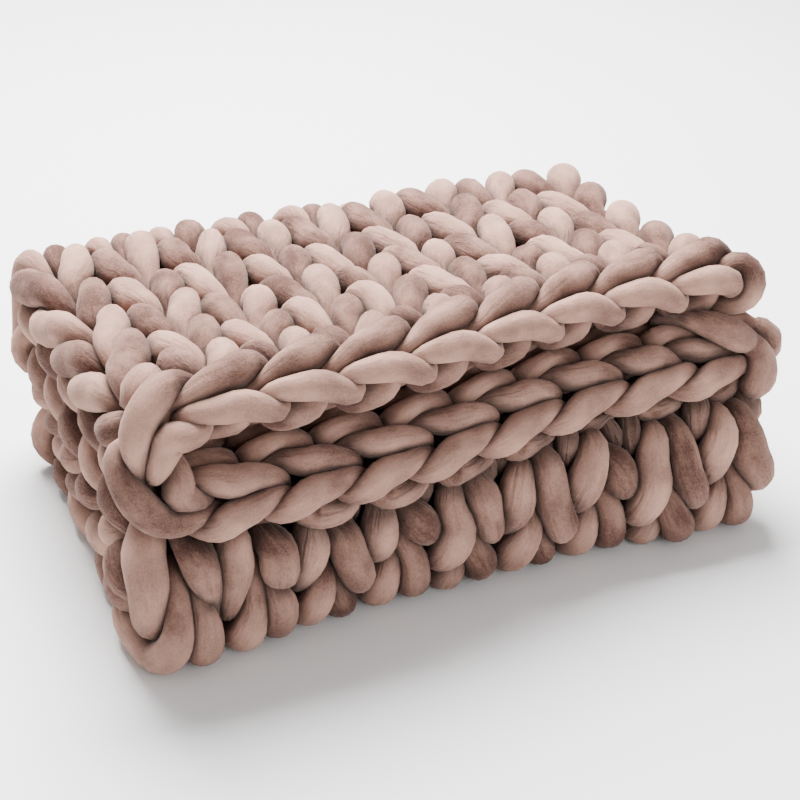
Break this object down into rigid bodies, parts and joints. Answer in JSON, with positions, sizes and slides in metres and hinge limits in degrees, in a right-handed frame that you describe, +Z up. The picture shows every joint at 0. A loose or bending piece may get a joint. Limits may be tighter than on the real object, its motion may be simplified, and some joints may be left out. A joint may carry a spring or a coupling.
{
  "type": "chunky knit blanket",
  "caption": "Chunky knit throw of stuffed velvet tube, doubled and folded in three, with a thick chain edge across the open front.",
  "frame": {"origin": "centre of the footprint, on the surface that the folded blanket lies on", "axes": "+Z up; -Y is the front, where the cast-on chain edge lies; +X runs along the front, from the doubled fold at the left to the open side edges at the right"},
  "size_m": [0.7596, 0.5236, 0.316],
  "materials": {
    "velvet_tube": "dusty taupe pink velvet with a soft sheen"
  },
  "bodies": {
    "root": {"knit_blanket": "velvet_tube"}
  },
  "joints": []
}
